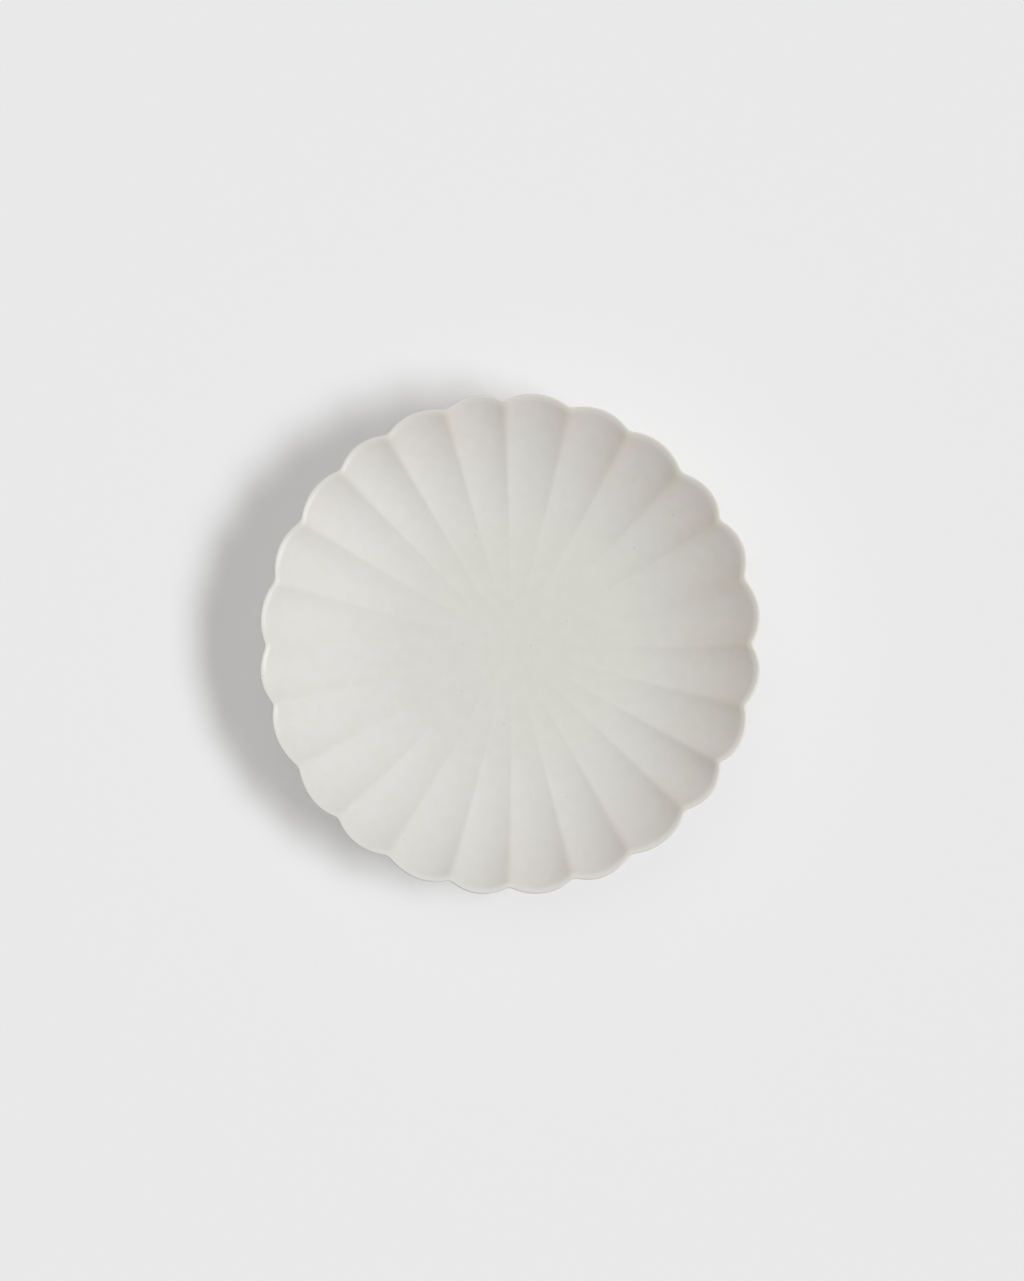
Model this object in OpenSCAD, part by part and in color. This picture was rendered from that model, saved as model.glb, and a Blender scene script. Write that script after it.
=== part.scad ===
// Scalloped dessert plate: a pressed dish with fluted petals, and the foot ring luted under it.
// Millimetres, +Z up, origin at the middle of the foot on the table, one petal tip on +X.

/* [Plate] */
// Overall diameter, from petal tip to opposite petal tip
plate_d = 160; // [140:1:220]
// Overall height, from the table to the top of the lip
plate_h = 24.5; // [20:0.5:36]
// Thickness of the lip at its rounded outer edge
lip_t = 2; // [1.4:0.1:4]
// Radius of the softer roll from the inner wall to the top of the lip
lip_roll_r = 1.5; // [0.8:0.1:5]

/* [Petals] */
// Number of petals around the wall
petal_count = 24; // [12:1:32]
// How far the notches between the petals lie inside the petal tips, at the rim
scallop_depth = 2.2; // [0.8:0.1:5]
// The same depth low on the wall, where the flutes leave the well
flute_depth = 1.8; // [0.5:0.1:4]
// Width over which the crest between two petals is rounded, measured at the rim
crest_w = 3.6; // [1:0.1:8]

/* [Well] */
// Diameter of the well, measured to the middle of opposite petals
well_d = 72; // [56:1:100]
// Slope of the gently dished well at its edge, in degrees
well_slope = 2.5; // [0.5:0.25:5]
// Diameter at which the flutes die out in the well
flute_d = 24; // [12:1:48]
// Thickness of the floor in the middle of the well
floor_t = 4; // [3:0.1:7]

/* [Foot] */
// Outer diameter of the foot ring where it joins the dish
foot_d = 76; // [60:1:110]
// Height of the foot ring
foot_h = 4.5; // [3:0.1:9]
// Width of the flat land that the foot stands on
foot_land_w = 3; // [1.5:0.1:6]
// Rounding of the two edges of the land
foot_edge_r = 1; // [0.4:0.1:1.5]
// How far each side of the foot spreads out from its rounded edge up to the dish
foot_flare = 0.6; // [0.1:0.1:2]
// Flat margin of the dish's underside around the foot
foot_margin = 1; // [0.4:0.1:4]

/* [Hidden] */

glaze_colour = [0.85, 0.84, 0.81];
clay_colour = [0.83, 0.78, 0.69];

// Steps along the well, the inner wall, the lip's roll, its outer edge and the underside
well_steps = 3;
wall_steps = 9;
roll_steps = 2;
edge_steps = 3;
under_steps = 6;
// Steps across half a flute, along a rounded edge of the foot and round the foot
flute_steps = 3;
foot_edge_steps = 5;
revolve_steps = 128;

nose_r = lip_t / 2;
well_r = well_d / 2;
flute_r = flute_d / 2;
floor_z = foot_h + floor_t;
base_r = foot_d / 2 + foot_margin;

// Middles of the lip's rounded edge and of its inner roll, in the plane of a petal's middle line
nose = [plate_d / 2 - nose_r, plate_h - nose_r];
roll = [nose.x, plate_h - lip_roll_r];

// Well: a shallow bowl that reaches its slope at the edge
well_rise = well_r * tan(well_slope) / 2;
function well_z(r) = floor_z + well_rise * (r / well_r) ^ 2;

// Inner wall: one arc that leaves the well tangent and runs tangent into the roll
inner_run = roll.x - well_r;
inner_rise = roll.y - well_z(well_r);
inner_clear = lip_roll_r + inner_rise * cos(well_slope) - inner_run * sin(well_slope);
inner_arc_r = (inner_run ^ 2 + inner_rise ^ 2 - lip_roll_r ^ 2) / (2 * inner_clear);
inner_middle = [well_r, well_z(well_r)] + inner_arc_r * [-sin(well_slope), cos(well_slope)];
inner_slope = atan2(roll.x - inner_middle.x, inner_middle.y - roll.y);

// Underside: one arc that leaves the flat base tangent and runs tangent into the nose
outer_run = nose.x - base_r;
outer_rise = nose.y - foot_h;
outer_arc_r = (outer_run ^ 2 + outer_rise ^ 2 - nose_r ^ 2) / (2 * (outer_rise - nose_r));
outer_slope = atan2(outer_run, outer_arc_r - outer_rise);

// Points on an arc from angle a0 to a1, without its first point
function arc(middle, r, a0, a1, steps) = [
    for (i = [1 : steps]) let (a = a0 + (a1 - a0) * i / steps) middle + r * [cos(a), sin(a)]
];

// Radial section through a petal's middle: from the well up the inner wall, over the lip, down to the base
well = [
    for (i = [0 : well_steps]) let (r = flute_r + (well_r - flute_r) * i / well_steps) [r, well_z(r)]
];
inner_wall = arc(inner_middle, inner_arc_r, well_slope - 90, inner_slope - 90, wall_steps);
lip_inside = arc(roll, lip_roll_r, 90 + inner_slope, 90, roll_steps);
lip_outside = arc(nose, nose_r, 90, 0, edge_steps);
lip_below = arc(nose, nose_r, 0, outer_slope - 90, roll_steps);
lip = concat(lip_inside, lip_outside, lip_below);
underside = arc([base_r, foot_h + outer_arc_r], outer_arc_r, outer_slope - 90, -90, under_steps);
section = concat(well, inner_wall, lip, underside);

// Depth of the scallop at each point of the section: it grows up to the lip and fades down to the base
depth = concat(
    [for (i = [0 : well_steps]) flute_depth * i / well_steps],
    [for (i = [1 : wall_steps]) flute_depth + (scallop_depth - flute_depth) * i / wall_steps],
    [for (point = lip) scallop_depth],
    [for (i = [1 : under_steps]) scallop_depth * cos(90 * i / under_steps)]
);

// Columns around the plate. Across a petal u runs from -1 at a notch through 0 at the tip to 1
petal_angle = 360 / petal_count;
crest_share = crest_w * petal_count / (PI * plate_d);
flute_share = 1 - crest_share;
petal_u = concat([-1], [for (i = [-flute_steps : flute_steps]) flute_share * i / flute_steps]);
columns = [for (petal = [0 : petal_count - 1], u = petal_u) [(petal + u / 2) * petal_angle, u]];
ring_size = len(columns);

// Inward shift of the outline across a petal, 0 at the tip and 1 at a notch: hollow flute, round crest
function scallop(u) =
    abs(u) < flute_share ? u ^ 2 / flute_share : 1 - (1 - abs(u)) ^ 2 / crest_share;

// Each ring is the scalloped outline at the height of one point of the section
function ring(i) = [
    for (column = columns)
        let (r = section[i].x - depth[i] * scallop(column[1]))
        [r * cos(column[0]), r * sin(column[0]), section[i].y]
];

// Two triangles between rings i and i + 1, with the diagonal mirrored about the petal's middle
function panel(i, j) =
    let (
        a = i * ring_size + j,
        b = i * ring_size + (j + 1) % ring_size,
        c = b + ring_size,
        d = a + ring_size
    )
    columns[j][1] < 0 ? [[a, b, d], [b, c, d]] : [[a, b, c], [a, c, d]];

// Fluted dish: rings lofted from the well over the lip to the base, closed by a fan at each end
module dish() {
    last = len(section) - 1;
    well_middle = len(section) * ring_size;
    base_middle = well_middle + 1;
    points = concat(
        [for (i = [0 : last]) each ring(i)],
        [[0, 0, floor_z], [0, 0, foot_h]]
    );
    wall_faces = [for (i = [0 : last - 1], j = [0 : ring_size - 1]) each panel(i, j)];
    well_faces = [for (j = [0 : ring_size - 1]) [well_middle, (j + 1) % ring_size, j]];
    base_faces = [
        for (j = [0 : ring_size - 1])
            [base_middle, last * ring_size + j, last * ring_size + (j + 1) % ring_size]
    ];
    color(glaze_colour)
        polyhedron(points, concat(wall_faces, well_faces, base_faces));
}

// Foot ring: a revolved section with a flat land, rounded edges and sides that flare to the dish
module foot_ring() {
    land_out = foot_d / 2 - foot_flare - foot_edge_r;
    land_in = land_out - foot_land_w;
    root_in = land_in - foot_edge_r - foot_flare;
    side = [foot_edge_r + foot_flare, foot_h - foot_edge_r];
    edge_end = atan2(side.y, side.x) - acos(foot_edge_r / norm(side));
    outer_edge = arc([land_out, foot_edge_r], foot_edge_r, -90, edge_end, foot_edge_steps);
    inner_edge = arc([land_in, foot_edge_r], foot_edge_r, 180 - edge_end, 270, foot_edge_steps);
    inner_side = [land_in, foot_edge_r] + foot_edge_r * [-cos(edge_end), sin(edge_end)];
    color(clay_colour)
        rotate_extrude($fn = revolve_steps)
            polygon(concat(
                [[land_out, 0]], outer_edge, [[foot_d / 2, foot_h], [root_in, foot_h], inner_side], inner_edge
            ));
}

dish();
foot_ring();
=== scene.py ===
import math

import bpy
import numpy as np
from mathutils import Matrix, Vector


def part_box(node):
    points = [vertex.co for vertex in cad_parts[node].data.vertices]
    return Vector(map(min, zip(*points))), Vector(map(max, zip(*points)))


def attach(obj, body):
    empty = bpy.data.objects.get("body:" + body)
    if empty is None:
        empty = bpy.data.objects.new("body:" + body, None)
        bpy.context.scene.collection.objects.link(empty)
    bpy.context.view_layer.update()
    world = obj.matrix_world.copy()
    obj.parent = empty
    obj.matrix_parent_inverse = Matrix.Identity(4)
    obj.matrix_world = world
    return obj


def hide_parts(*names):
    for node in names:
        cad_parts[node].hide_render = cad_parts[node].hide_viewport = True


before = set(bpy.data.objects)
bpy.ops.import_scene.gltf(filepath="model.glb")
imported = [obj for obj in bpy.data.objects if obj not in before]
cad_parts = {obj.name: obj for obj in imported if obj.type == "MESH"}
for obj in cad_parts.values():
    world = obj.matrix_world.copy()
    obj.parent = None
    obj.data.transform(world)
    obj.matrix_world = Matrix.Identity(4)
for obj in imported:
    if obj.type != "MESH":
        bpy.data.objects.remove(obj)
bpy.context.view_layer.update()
MM = 0.001
QUARTER = math.pi / 2
TURN = 2 * math.pi

# Sizes of the plate, in metres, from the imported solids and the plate's own drawing
dish_low, dish_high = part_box("dish")
foot_low, foot_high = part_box("foot_ring")
PLATE_R = (dish_high.x - dish_low.x) / 2
PLATE_H = dish_high.z
FOOT_R = (foot_high.x - foot_low.x) / 2
FOOT_H = foot_high.z
FLOOR_T = 4 * MM
FLOOR_Z = FOOT_H + FLOOR_T
FOOT_MARGIN = 1 * MM
BASE_R = FOOT_R + FOOT_MARGIN
WELL_R = 36 * MM
WELL_SLOPE = math.radians(2.5)

# Lip: a fine outer edge, a broad roll that slopes down into the wall, and the rounding below
LIP_EDGE_R = 0.5 * MM
LIP_ROLL_R = 5.5 * MM
LIP_BELOW_R = 1.4 * MM
LIP_TILT = math.radians(15)

# Petals: depth of the scallops at the rim and of the flutes at the well, where the flutes die out,
# width of the crests between them at the rim and at the well, and ridges that run on into the well
PETALS = 24
SCALLOP_DEPTH = 2.28 * MM
FLUTE_DEPTH = 1.8 * MM
FLUTE_R = 12 * MM
CREST_W = 3.0 * MM
CREST_LOW_W = 1.0 * MM
RIDGE_H = 0.04 * MM
RIDGE_IN_R = 15 * MM
RIDGE_OUT_R = 44 * MM

# Foot ring: its land, the rounding of its edges, the spread of its sides and the cove against the dish
FOOT_LAND_W = 3 * MM
FOOT_EDGE_R = 1 * MM
FOOT_FLARE = 0.6 * MM
FOOT_COVE_R = 1.2 * MM
FOOT_COVE_END = math.radians(12)

# Fineness of the meshes
PETAL_COLUMNS = 28
WELL_RINGS = 14
WALL_RINGS = 52
NOSE_RINGS = 9
UNDER_RINGS = 34
BASE_RINGS = 8
FOOT_COLUMNS = 288
EDGE_RINGS = 8

# Hand finish: how far the pressed shape wanders from the drawing. Each curve is a seed and its waves
# round the plate, from the fewest to the most
NOTCH_WANDER = math.radians(0.63)
NOTCH_CURVE = (5422, 1, 11)
RIM_WANDER = 0.2 * MM
RIM_CURVE = (30895, 2, 11)
LIFT_WANDER = 0.12 * MM
LIFT_CURVE = (25, 2, 5)
DEPTH_WANDER = 0.06
DEPTH_CURVE = (24, 2, 11)
DEPTH_LEAN = 0.12

# The picture: its width and middle, and the plate's middle and radius in it, in pixels
IMAGE_W = 1024
IMAGE_MIDDLE = Vector((512.0, 640.5))
RIM_PIXEL = Vector((509.4, 642.9))
RIM_PIXELS = 252.0

# The camera: its distance, its lean off the vertical and how far the plate is turned under it
CAMERA_DISTANCE = 1.1
SENSOR_W = 36.0
LEAN_DOWN = math.radians(4.4)
LEAN_RIGHT = math.radians(2.2)
PHOTO_TURN = math.radians(7.3)

# Light, as shares of full light on the floor: a key on the right, made of a row of soft lamps that climbs
# from one to the next, a broad fill without shadow from the upper left, and a pale room for the rest
KEY_SHARE = 0.44
KEY_LAMPS = (("key_near", -1), ("key_middle", 0), ("key_far", 1))
KEY_AZIMUTH = math.radians(-12)
KEY_ELEVATION = math.radians(43.5)
KEY_FAN = math.radians(12)
KEY_CLIMB = math.radians(2)
KEY_SPREAD = math.radians(16)
FILL_SHARE = 0.30
FILL_AZIMUTH = math.radians(119)
FILL_ELEVATION = math.radians(57.5)
FILL_SPREAD = math.radians(60)
ROOM_SHARE = 1 - KEY_SHARE - FILL_SHARE
KEY_TINT = (0.985, 1.0, 1.033)
SHADE_TINT = (1.012, 1.0, 0.982)
FLOOR_SIZE = 6.0

# Linear colours
FLOOR_COLOUR = (0.817, 0.817, 0.817, 1)
GLAZE_WELL = (0.634, 0.634, 0.563, 1)
# The cooler well colour is the foot's glaze, and on the dish the painted lit-side tint of the well
GLAZE_FOOT_AND_LIT_WELL = (0.638, 0.634, 0.602, 1)
# Painted light: the cooler wall and rim colours are for the lit side of the plate, the warmer, pinker ones a
# painted shade tint for the side facing away from the key lamps
GLAZE_LIT_SIDE = (0.644, 0.636, 0.624, 1)
GLAZE_LIT_SIDE_RIM = (0.644, 0.636, 0.606, 1)
GLAZE_SHADE_SIDE = (0.644, 0.636, 0.584, 1)
GLAZE_SHADE_SIDE_RIM = (0.668, 0.622, 0.586, 1)
# Painted shade: a darker ochre in the notches on the shaded side of the plate
NOTCH_SHADE_OCHRE = (0.640, 0.600, 0.470, 1)
# Painted shade: a darker ochre on the lip on the shaded side of the plate
LIP_SHADE_OCHRE = (0.618, 0.606, 0.540, 1)
GLAZE_DIM = (0.600, 0.596, 0.545, 1)
GLAZE_SPECK = (0.300, 0.270, 0.200, 1)
CLAY_COLOUR = (0.560, 0.480, 0.380, 1)
CLAY_DARK = (0.480, 0.400, 0.305, 1)

# Where the colour changes: across the plate from the lit side, cooler, to the side whose walls face away from
# the key lamps, warmer and pinker as painted shade, and up the wall from the well to the rim
SHADED_SIDE_TOWARD = math.radians(40)
WELL_SPAN = (-0.2, 0.35)
RIM_SPAN = (0.35, 0.9)
WELL_SHADE_SPAN = (0.25, 0.5)
LIP_SHADE_SPAN = (0.3, 0.9)
NOTCH_TINT_FROM = 0.55
NOTCH_TINT_POWER = 4

# Texture of the glaze: sizes of its noises, and how strongly each one acts
NOISE_SPAN = (0.3, 0.7)
NOISE_CORE = (0.35, 0.65)
CLOUD_SIZE = 24 * MM
CLOUD_SHIFT = 0.12
MOTTLE_SIZE = 4 * MM
MOTTLE_SHARE = 0.4
PATCH_SIZE = 7 * MM
PATCH_SHARES = (0.4, 0.9)
SPECK_SPACING = 10 * MM
SPECK_R = 0.45 * MM
SPECK_SHARE = 0.4
SHEEN_SIZE = 9 * MM
GLAZE_ROUGHNESS = (0.62, 0.70)
LIP_SMOOTHER = 0.36
RIPPLE_SIZE = 5 * MM
GRAIN_SIZE = 0.8 * MM
GRAIN_SHARE = 0.12
GLAZE_BUMP = 0.03 * MM

# Texture of the foot: the wavy line where its glaze stops, and the bare clay below
GLAZE_LINE_SIZE = 9 * MM
GLAZE_LINE_Z = (1.4 * MM, 3.0 * MM)
GLAZE_LINE_BLUR = 0.25 * MM
SAND_SIZE = 0.6 * MM
SAND_BUMP = 0.08 * MM
FOOT_ROUGHNESS = (0.66, 0.9)

photo_turn = Matrix.Rotation(PHOTO_TURN, 3, "Z")


def arc(middle, radius, start, end, steps):
    """Points on an arc from angle start to end, without its first point."""
    angles = [start + (end - start) * i / steps for i in range(1, steps + 1)]
    return [(middle[0] + radius * math.cos(a), middle[1] + radius * math.sin(a)) for a in angles]


def shares(steps):
    """Even steps from just above 0 up to 1."""
    return np.arange(1, steps + 1) / steps


def wander(angles, seed, fewest, most):
    """Smooth random curve round the plate, of about unit size."""
    rng = np.random.default_rng(seed)
    total = np.zeros_like(angles)
    for waves in range(fewest, most + 1):
        total += rng.normal() * np.sin(waves * angles + rng.uniform(0, TURN))
    return total / math.sqrt(most - fewest + 1)


def make_piece(name, points, faces):
    """Smooth-shaded object from points and faces."""
    mesh = bpy.data.meshes.new(name)
    mesh.from_pydata(points, [], faces)
    mesh.update()
    mesh.polygons.foreach_set("use_smooth", np.ones(len(mesh.polygons), bool))
    piece = bpy.data.objects.new(name, mesh)
    bpy.context.scene.collection.objects.link(piece)
    return piece


def bands(ring_count, columns, closed):
    """Four-sided faces between neighbouring rings, and from the last to the first where closed."""
    faces = []
    for i in range(ring_count if closed else ring_count - 1):
        here = i * columns
        beyond = (i + 1) % ring_count * columns
        for j in range(columns):
            k = (j + 1) % columns
            faces.append((here + j, beyond + j, beyond + k, here + k))
    return faces


def mark(piece, name, values):
    """Stores a number on each ring point of the dish, and 0 on its two middle points."""
    layer = piece.data.attributes.new(name, "FLOAT", "POINT")
    layer.data.foreach_set("value", np.append(values.reshape(-1), [0, 0]).astype(np.float32))


def inner_section():
    """Well, wall and roll of the lip in a petal's middle. The wall is one arc, tangent at both its ends."""
    inset = LIP_ROLL_R - LIP_EDGE_R
    roll_x = PLATE_R - LIP_EDGE_R + inset * math.sin(LIP_TILT)
    roll_z = PLATE_H - LIP_EDGE_R - inset * math.cos(LIP_TILT)
    well_rise = WELL_R * math.tan(WELL_SLOPE) / 2
    run = roll_x - WELL_R
    rise = roll_z - FLOOR_Z - well_rise
    clear = LIP_ROLL_R + rise * math.cos(WELL_SLOPE) - run * math.sin(WELL_SLOPE)
    wall_r = (run**2 + rise**2 - LIP_ROLL_R**2) / (2 * clear)
    wall_x = WELL_R - wall_r * math.sin(WELL_SLOPE)
    wall_z = FLOOR_Z + well_rise + wall_r * math.cos(WELL_SLOPE)
    slope = math.atan2(roll_x - wall_x, wall_z - roll_z)
    well = [(WELL_R * s, FLOOR_Z + well_rise * s**2) for s in shares(WELL_RINGS)]
    wall = arc((wall_x, wall_z), wall_r, WELL_SLOPE - QUARTER, slope - QUARTER, WALL_RINGS)
    roll = arc((roll_x, roll_z), LIP_ROLL_R, slope + QUARTER, LIP_TILT + QUARTER, NOSE_RINGS)
    return well + wall + roll


def outer_section():
    """Edge of the lip, rounding below it, underside and base in a petal's middle. The underside is an arc."""
    edge = (PLATE_R - LIP_EDGE_R, PLATE_H - LIP_EDGE_R)
    nose = (PLATE_R - LIP_BELOW_R, PLATE_H - LIP_EDGE_R)
    run = nose[0] - BASE_R
    rise = nose[1] - FOOT_H
    under_r = (run**2 + rise**2 - LIP_BELOW_R**2) / (2 * (rise - LIP_BELOW_R))
    slope = math.atan2(run, under_r - rise)
    lip = arc(edge, LIP_EDGE_R, LIP_TILT + QUARTER, 0, NOSE_RINGS)
    below = arc(nose, LIP_BELOW_R, 0, slope - QUARTER, NOSE_RINGS)
    under = arc((BASE_R, FOOT_H + under_r), under_r, slope - QUARTER, -QUARTER, UNDER_RINGS)
    base = [(BASE_R * (1 - i / (BASE_RINGS + 1)), FOOT_H) for i in range(1, BASE_RINGS + 1)]
    return lip + below + under + base


def section_depth():
    """Depth of the scallop at each point of the section: it grows up to the lip and fades below it."""
    in_well = np.clip((WELL_R * shares(WELL_RINGS) - FLUTE_R) / (WELL_R - FLUTE_R), 0, 1)
    return np.concatenate([
        FLUTE_DEPTH * in_well,
        FLUTE_DEPTH + (SCALLOP_DEPTH - FLUTE_DEPTH) * shares(WALL_RINGS),
        SCALLOP_DEPTH * np.ones(3 * NOSE_RINGS),
        SCALLOP_DEPTH * np.cos(QUARTER * shares(UNDER_RINGS)),
        np.zeros(BASE_RINGS),
    ])


def section_lip():
    """How near each point of the section is to the middle of the lip."""
    along_lip = np.arange(3 * NOSE_RINGS) / (3 * NOSE_RINGS)
    on_lip = np.sqrt(np.sin(math.pi * along_lip))
    return np.concatenate([np.zeros(WELL_RINGS + WALL_RINGS), on_lip, np.zeros(UNDER_RINGS + BASE_RINGS)])


def petal_columns():
    """Place across its petal, from -1 at a notch through 0 at the tip, and angle of each column.
    The columns crowd together towards the notches."""
    even = np.arange(PETAL_COLUMNS) / PETAL_COLUMNS * 2 - 1
    across = np.tile(even * (1.5 - 0.5 * even**2), PETALS)
    petal = np.repeat(np.arange(PETALS), PETAL_COLUMNS)
    return across, (petal + across / 2) * TURN / PETALS


def scallop_shift(radius, reach, across, angles):
    """Inward shift of each ring, 0 at a tip and about 1 at a notch: hollow flutes with round crests."""
    crest_w = CREST_LOW_W + (CREST_W - CREST_LOW_W) * reach**2
    crest_share = (crest_w * PETALS / (TURN * np.maximum(radius, FLUTE_R)))[:, None]
    flute_share = 1 - crest_share
    u = np.abs(across)
    shift = np.where(u < flute_share, u**2 / flute_share, 1 - (1 - u) ** 2 / crest_share)
    return shift * (1 + DEPTH_LEAN * np.cos(angles) + DEPTH_WANDER * wander(angles, *DEPTH_CURVE))


def make_dish():
    """Fluted dish: the section carried round the plate along its scalloped outline."""
    radius, height = np.array(inner_section() + outer_section()).T
    across, angles = petal_columns()
    reach = np.clip((radius - WELL_R) / (PLATE_R - WELL_R), 0, 1)
    on_top = np.arange(len(radius)) < WELL_RINGS + WALL_RINGS + NOSE_RINGS
    scallop = scallop_shift(radius, reach, across, angles)
    along_ridge = np.clip((radius - RIDGE_IN_R) / (RIDGE_OUT_R - RIDGE_IN_R), 0, 1)
    ridge = np.where(on_top, RIDGE_H * np.sin(math.pi * along_ridge) ** 2, 0)
    rim = RIM_WANDER * wander(angles, *RIM_CURVE)
    lift = LIFT_WANDER * wander(angles, *LIFT_CURVE)
    around = angles + NOTCH_WANDER * wander(angles, *NOTCH_CURVE)
    r = radius[:, None] - section_depth()[:, None] * scallop + np.outer(reach, rim)
    z = height[:, None] + np.outer(reach, lift) + ridge[:, None] * scallop
    rings = np.stack([r * np.cos(around), r * np.sin(around), z], axis=2).reshape(-1, 3)
    points = np.vstack([rings, [0, 0, FLOOR_Z], [0, 0, FOOT_H]])
    well_middle = len(rings)
    base_middle = well_middle + 1
    columns = len(angles)
    last_ring = well_middle - columns
    faces = bands(len(radius), columns, False)
    for j in range(columns):
        k = (j + 1) % columns
        faces.append((well_middle, j, k))
        faces.append((base_middle, last_ring + k, last_ring + j))
    piece = make_piece("dish_glazed", points.tolist(), faces)
    # Mask for the painted shade in the notches near the rim
    beside_notch = np.clip((np.abs(across) - NOTCH_TINT_FROM) / (1 - NOTCH_TINT_FROM), 0, 1)
    all_round = np.ones(columns)
    mark(piece, "notch", np.outer(on_top * reach**NOTCH_TINT_POWER, beside_notch))
    mark(piece, "lip", np.outer(section_lip(), all_round))
    mark(piece, "reach", np.outer(reach, all_round))
    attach(piece, "root")
    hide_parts("dish")
    return piece


def make_foot():
    """Foot ring with a flat land, rounded edges and a small cove of glaze against the dish."""
    land_out = FOOT_R - FOOT_FLARE - FOOT_EDGE_R
    land_in = land_out - FOOT_LAND_W
    root_in = land_in - FOOT_EDGE_R - FOOT_FLARE
    side = (FOOT_EDGE_R + FOOT_FLARE, FOOT_H - FOOT_EDGE_R)
    lean = math.atan2(side[1], side[0]) - math.acos(FOOT_EDGE_R / math.hypot(*side))
    cove_out = (FOOT_R + FOOT_COVE_R, FOOT_H - FOOT_COVE_R)
    cove_in = (root_in - FOOT_COVE_R, FOOT_H - FOOT_COVE_R)
    outer = arc((land_out, FOOT_EDGE_R), FOOT_EDGE_R, -QUARTER, lean, EDGE_RINGS)
    outer_cove = arc(cove_out, FOOT_COVE_R, math.pi, QUARTER + FOOT_COVE_END, EDGE_RINGS)
    inner_cove = arc(cove_in, FOOT_COVE_R, QUARTER - FOOT_COVE_END, 0, EDGE_RINGS)
    inner = arc((land_in, FOOT_EDGE_R), FOOT_EDGE_R, math.pi - lean, 3 * QUARTER, EDGE_RINGS)
    top = [(outer_cove[-1][0], FOOT_H), (inner_cove[0][0], FOOT_H)]
    outline = [(land_out, 0)] + outer + outer_cove + top + inner_cove + inner
    points = []
    for r, z in reversed(outline):
        for j in range(FOOT_COLUMNS):
            a = TURN * j / FOOT_COLUMNS
            points.append((r * math.cos(a), r * math.sin(a), z))
    piece = make_piece("foot_ring_bare_edge", points, bands(len(outline), FOOT_COLUMNS, True))
    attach(piece, "root")
    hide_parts("foot_ring")
    return piece


class Shader:
    """A material's node tree, with short ways to add and link its nodes."""

    def __init__(self, name):
        self.material = bpy.data.materials.new(name)
        self.material.use_nodes = True
        self.tree = self.material.node_tree
        self.principled = self.tree.nodes["Principled BSDF"]

    def put(self, socket, value):
        """Sets a socket to a constant, or links another socket to it."""
        if isinstance(value, bpy.types.NodeSocket):
            self.tree.links.new(value, socket)
        else:
            socket.default_value = value

    def place(self):
        """Place in the piece's own coordinates, with the plate's axis as Z."""
        return self.tree.nodes.new("ShaderNodeTexCoord").outputs["Object"]

    def noise(self, size, detail=3.0):
        """Noise from 0 to 1, with features of about that size."""
        node = self.tree.nodes.new("ShaderNodeTexNoise")
        node.inputs["Scale"].default_value = 1 / size
        node.inputs["Detail"].default_value = detail
        self.put(node.inputs["Vector"], self.place())
        return node.outputs["Fac"]

    def specks(self, spacing, radius):
        """Sparse round specks: 1 in their middle and 0 from their edge on."""
        node = self.tree.nodes.new("ShaderNodeTexVoronoi")
        node.inputs["Scale"].default_value = 1 / spacing
        self.put(node.inputs["Vector"], self.place())
        return self.ranged(node.outputs["Distance"], (0, radius / spacing), (1, 0))

    def height(self):
        """Height above the table."""
        node = self.tree.nodes.new("ShaderNodeSeparateXYZ")
        self.put(node.inputs["Vector"], self.place())
        return node.outputs["Z"]

    def along(self, angle):
        """Distance from the plate's axis in the direction of an angle round it."""
        node = self.tree.nodes.new("ShaderNodeVectorMath")
        node.operation = "DOT_PRODUCT"
        self.put(node.inputs[0], self.place())
        self.put(node.inputs[1], (math.cos(angle), math.sin(angle), 0))
        return node.outputs["Value"]

    def attribute(self, name):
        """Number that is marked on the piece's points."""
        node = self.tree.nodes.new("ShaderNodeAttribute")
        node.attribute_name = name
        return node.outputs["Fac"]

    def ranged(self, value, span, to=(0, 1)):
        """Value carried from one span to another, and held at the ends."""
        node = self.tree.nodes.new("ShaderNodeMapRange")
        for i, setting in enumerate((value, *span, *to)):
            self.put(node.inputs[i], setting)
        return node.outputs["Result"]

    def math(self, operation, first, second):
        """Two numbers added, multiplied or the like, as the operation says."""
        node = self.tree.nodes.new("ShaderNodeMath")
        node.operation = operation
        self.put(node.inputs[0], first)
        self.put(node.inputs[1], second)
        return node.outputs["Value"]

    def mix(self, share, first, second):
        """Mixed colour. The colour sockets of the node are its seventh and eighth."""
        node = self.tree.nodes.new("ShaderNodeMix")
        node.data_type = "RGBA"
        self.put(node.inputs[0], share)
        self.put(node.inputs[6], first)
        self.put(node.inputs[7], second)
        return node.outputs[2]

    def bump(self, height, distance):
        """Fine relief on the surface."""
        node = self.tree.nodes.new("ShaderNodeBump")
        node.inputs["Distance"].default_value = distance
        self.put(node.inputs["Height"], height)
        self.put(self.principled.inputs["Normal"], node.outputs["Normal"])

    def finish(self, colour, roughness):
        """The material, with its colour and roughness."""
        self.put(self.principled.inputs["Base Color"], colour)
        self.put(self.principled.inputs["Roughness"], roughness)
        return self.material


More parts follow.
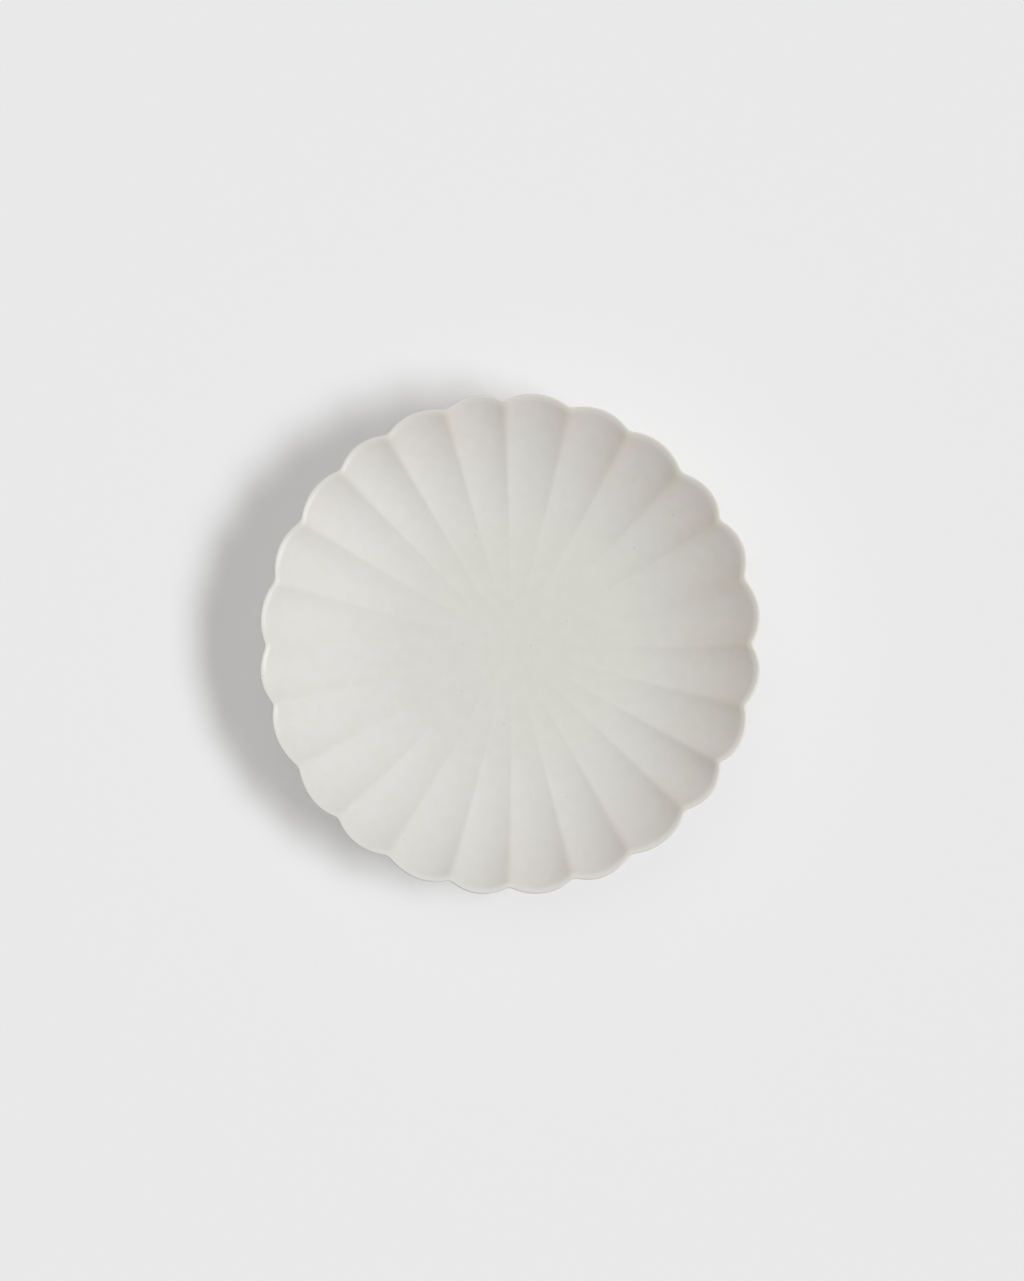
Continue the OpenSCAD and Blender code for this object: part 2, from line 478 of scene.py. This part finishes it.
def glaze_colour(shader):
    """Warmish white, cooler on the lit side of the plate and warmer and pinker as painted shade on the side
    facing away from the key lamps, mottled, with painted ochre shade at the notches and on the lip of that
    shaded side.
    """
    cloud = shader.ranged(shader.noise(CLOUD_SIZE), NOISE_SPAN, (-CLOUD_SHIFT, CLOUD_SHIFT))
    reach = shader.math("ADD", shader.attribute("reach"), cloud)
    low = shader.ranged(reach, WELL_SPAN)
    high = shader.ranged(reach, RIM_SPAN)
    across_plate = shader.ranged(shader.along(SHADED_SIDE_TOWARD), (-PLATE_R, PLATE_R))
    # Painted shade share: 0 on the lit side of the plate, 1 on the side facing away from the key lamps, with
    # random cloud
    shaded_side = shader.math("ADD", across_plate, cloud)
    well = shader.mix(shader.ranged(shaded_side, WELL_SHADE_SPAN), GLAZE_FOOT_AND_LIT_WELL, GLAZE_WELL)
    lit_side_tint = shader.mix(high, shader.mix(low, well, GLAZE_LIT_SIDE), GLAZE_LIT_SIDE_RIM)
    shade_side_tint = shader.mix(high, shader.mix(low, well, GLAZE_SHADE_SIDE), GLAZE_SHADE_SIDE_RIM)
    colour = shader.mix(shaded_side, lit_side_tint, shade_side_tint)
    mottle = shader.ranged(shader.noise(MOTTLE_SIZE, detail=4.0), NOISE_CORE, (0, MOTTLE_SHARE))
    colour = shader.mix(mottle, colour, GLAZE_DIM)
    speck = shader.math("MULTIPLY", shader.specks(SPECK_SPACING, SPECK_R), SPECK_SHARE)
    colour = shader.mix(speck, colour, GLAZE_SPECK)
    patchy = shader.ranged(shader.noise(PATCH_SIZE), NOISE_SPAN, PATCH_SHARES)
    # Painted shade in the notches, only on the shaded side of the plate
    notch_shade = shader.math("MULTIPLY", shader.attribute("notch"), shaded_side)
    colour = shader.mix(shader.math("MULTIPLY", notch_shade, patchy), colour, NOTCH_SHADE_OCHRE)
    # Painted shade on the lip, only on the shaded side of the plate
    edge = shader.math("MULTIPLY", shader.attribute("lip"), shader.ranged(shaded_side, LIP_SHADE_SPAN))
    return shader.mix(shader.math("MULTIPLY", edge, patchy), colour, LIP_SHADE_OCHRE)


def glaze_material():
    """Silky matte glaze with a faint ripple and grain, smoother on the lip."""
    shader = Shader("matte_glaze")
    matte = shader.ranged(shader.noise(SHEEN_SIZE), NOISE_SPAN, GLAZE_ROUGHNESS)
    smoother = shader.math("MULTIPLY", shader.attribute("lip"), LIP_SMOOTHER)
    ripple = shader.noise(RIPPLE_SIZE, detail=1.0)
    grain = shader.math("MULTIPLY", shader.noise(GRAIN_SIZE, detail=2.0), GRAIN_SHARE)
    shader.bump(shader.math("ADD", ripple, grain), GLAZE_BUMP)
    return shader.finish(glaze_colour(shader), shader.math("SUBTRACT", matte, smoother))


def foot_material():
    """Glaze that stops in a wavy line above the bare, sandy edge of the foot."""
    shader = Shader("glazed_foot_bare_edge")
    line = shader.ranged(shader.noise(GLAZE_LINE_SIZE), (0, 1), GLAZE_LINE_Z)
    above = shader.math("SUBTRACT", shader.height(), line)
    bare = shader.ranged(above, (0, GLAZE_LINE_BLUR), (1, 0))
    sand = shader.noise(SAND_SIZE, detail=2.0)
    clay = shader.mix(shader.ranged(sand, NOISE_CORE), CLAY_COLOUR, CLAY_DARK)
    shader.bump(shader.math("MULTIPLY", sand, bare), SAND_BUMP)
    return shader.finish(shader.mix(bare, GLAZE_FOOT_AND_LIT_WELL, clay), shader.ranged(bare, (0, 1), FOOT_ROUGHNESS))


def make_floor():
    """Pale matte floor under the plate."""
    half = FLOOR_SIZE / 2
    corners = [(-half, -half, 0), (half, -half, 0), (half, half, 0), (-half, half, 0)]
    floor = make_piece("floor", corners, [(0, 1, 2, 3)])
    shader = Shader("pale_floor")
    shader.principled.inputs["Specular IOR Level"].default_value = 0
    floor.data.materials.append(shader.finish(FLOOR_COLOUR, 1.0))


def make_room():
    """Even light from a pale room. Seen by the camera or in the glaze, it has the floor's own colour."""
    world = bpy.data.worlds.new("pale_room")
    bpy.context.scene.world = world
    world.use_nodes = True
    tree = world.node_tree
    link = tree.links.new
    tree.nodes.clear()
    light = tree.nodes.new("ShaderNodeBackground")
    light.inputs["Color"].default_value = (*SHADE_TINT, 1)
    light.inputs["Strength"].default_value = ROOM_SHARE
    seen = tree.nodes.new("ShaderNodeBackground")
    seen.inputs["Color"].default_value = FLOOR_COLOUR
    path = tree.nodes.new("ShaderNodeLightPath")
    shown = path.outputs["Is Camera Ray"]
    for ray in ("Is Glossy Ray", "Is Transmission Ray"):
        either = tree.nodes.new("ShaderNodeMath")
        either.operation = "MAXIMUM"
        link(shown, either.inputs[0])
        link(path.outputs[ray], either.inputs[1])
        shown = either.outputs["Value"]
    choice = tree.nodes.new("ShaderNodeMixShader")
    output = tree.nodes.new("ShaderNodeOutputWorld")
    link(shown, choice.inputs["Fac"])
    link(light.outputs["Background"], choice.inputs[1])
    link(seen.outputs["Background"], choice.inputs[2])
    link(choice.outputs["Shader"], output.inputs["Surface"])


def make_lamp(name, share, tint, azimuth, elevation, spread, shadow):
    """Far lamp that gives a level floor the stated share of full light."""
    lamp = bpy.data.lights.new(name, "SUN")
    lamp.energy = math.pi * share / math.sin(elevation)
    lamp.color = tint
    lamp.angle = spread
    lamp.use_shadow = shadow
    stand = bpy.data.objects.new(name, lamp)
    bpy.context.scene.collection.objects.link(stand)
    flat = math.cos(elevation)
    toward = Vector((flat * math.cos(azimuth), flat * math.sin(azimuth), math.sin(elevation)))
    stand.rotation_mode = "QUATERNION"
    stand.rotation_quaternion = (photo_turn @ toward).to_track_quat("Z", "Y")


def make_lamps():
    """The row of key lamps, and the fill."""
    for name, side in KEY_LAMPS:
        azimuth = KEY_AZIMUTH + side * KEY_FAN
        elevation = KEY_ELEVATION + side * KEY_CLIMB
        make_lamp(name, KEY_SHARE / len(KEY_LAMPS), KEY_TINT, azimuth, elevation, KEY_SPREAD, True)
    make_lamp("fill", FILL_SHARE, SHADE_TINT, FILL_AZIMUTH, FILL_ELEVATION, FILL_SPREAD, False)


def make_camera():
    """Camera above the plate, leaning a little to the bottom and the right of the picture."""
    metres_per_pixel = PLATE_R / RIM_PIXELS
    back = Vector((math.tan(LEAN_RIGHT), -math.tan(LEAN_DOWN), 1)).normalized()
    right = Vector((0, 1, 0)).cross(back).normalized()
    up = back.cross(right)
    offset = (IMAGE_MIDDLE - RIM_PIXEL) * metres_per_pixel
    rim_middle = Vector((0, 0, PLATE_H - LIP_EDGE_R))
    place = rim_middle + offset.x * right - offset.y * up + CAMERA_DISTANCE * back
    axes = Matrix((right, up, back)).transposed()
    lens = bpy.data.cameras.new("camera")
    lens.sensor_fit = "HORIZONTAL"
    lens.sensor_width = SENSOR_W
    lens.lens = SENSOR_W * CAMERA_DISTANCE / (IMAGE_W * metres_per_pixel)
    camera = bpy.data.objects.new("camera", lens)
    camera.matrix_world = (photo_turn @ axes).to_4x4()
    camera.location = photo_turn @ place
    bpy.context.scene.collection.objects.link(camera)
    bpy.context.scene.camera = camera


make_dish().data.materials.append(glaze_material())
make_foot().data.materials.append(foot_material())
make_floor()
make_room()
make_lamps()
make_camera()
bpy.context.scene.view_settings.view_transform = "Standard"
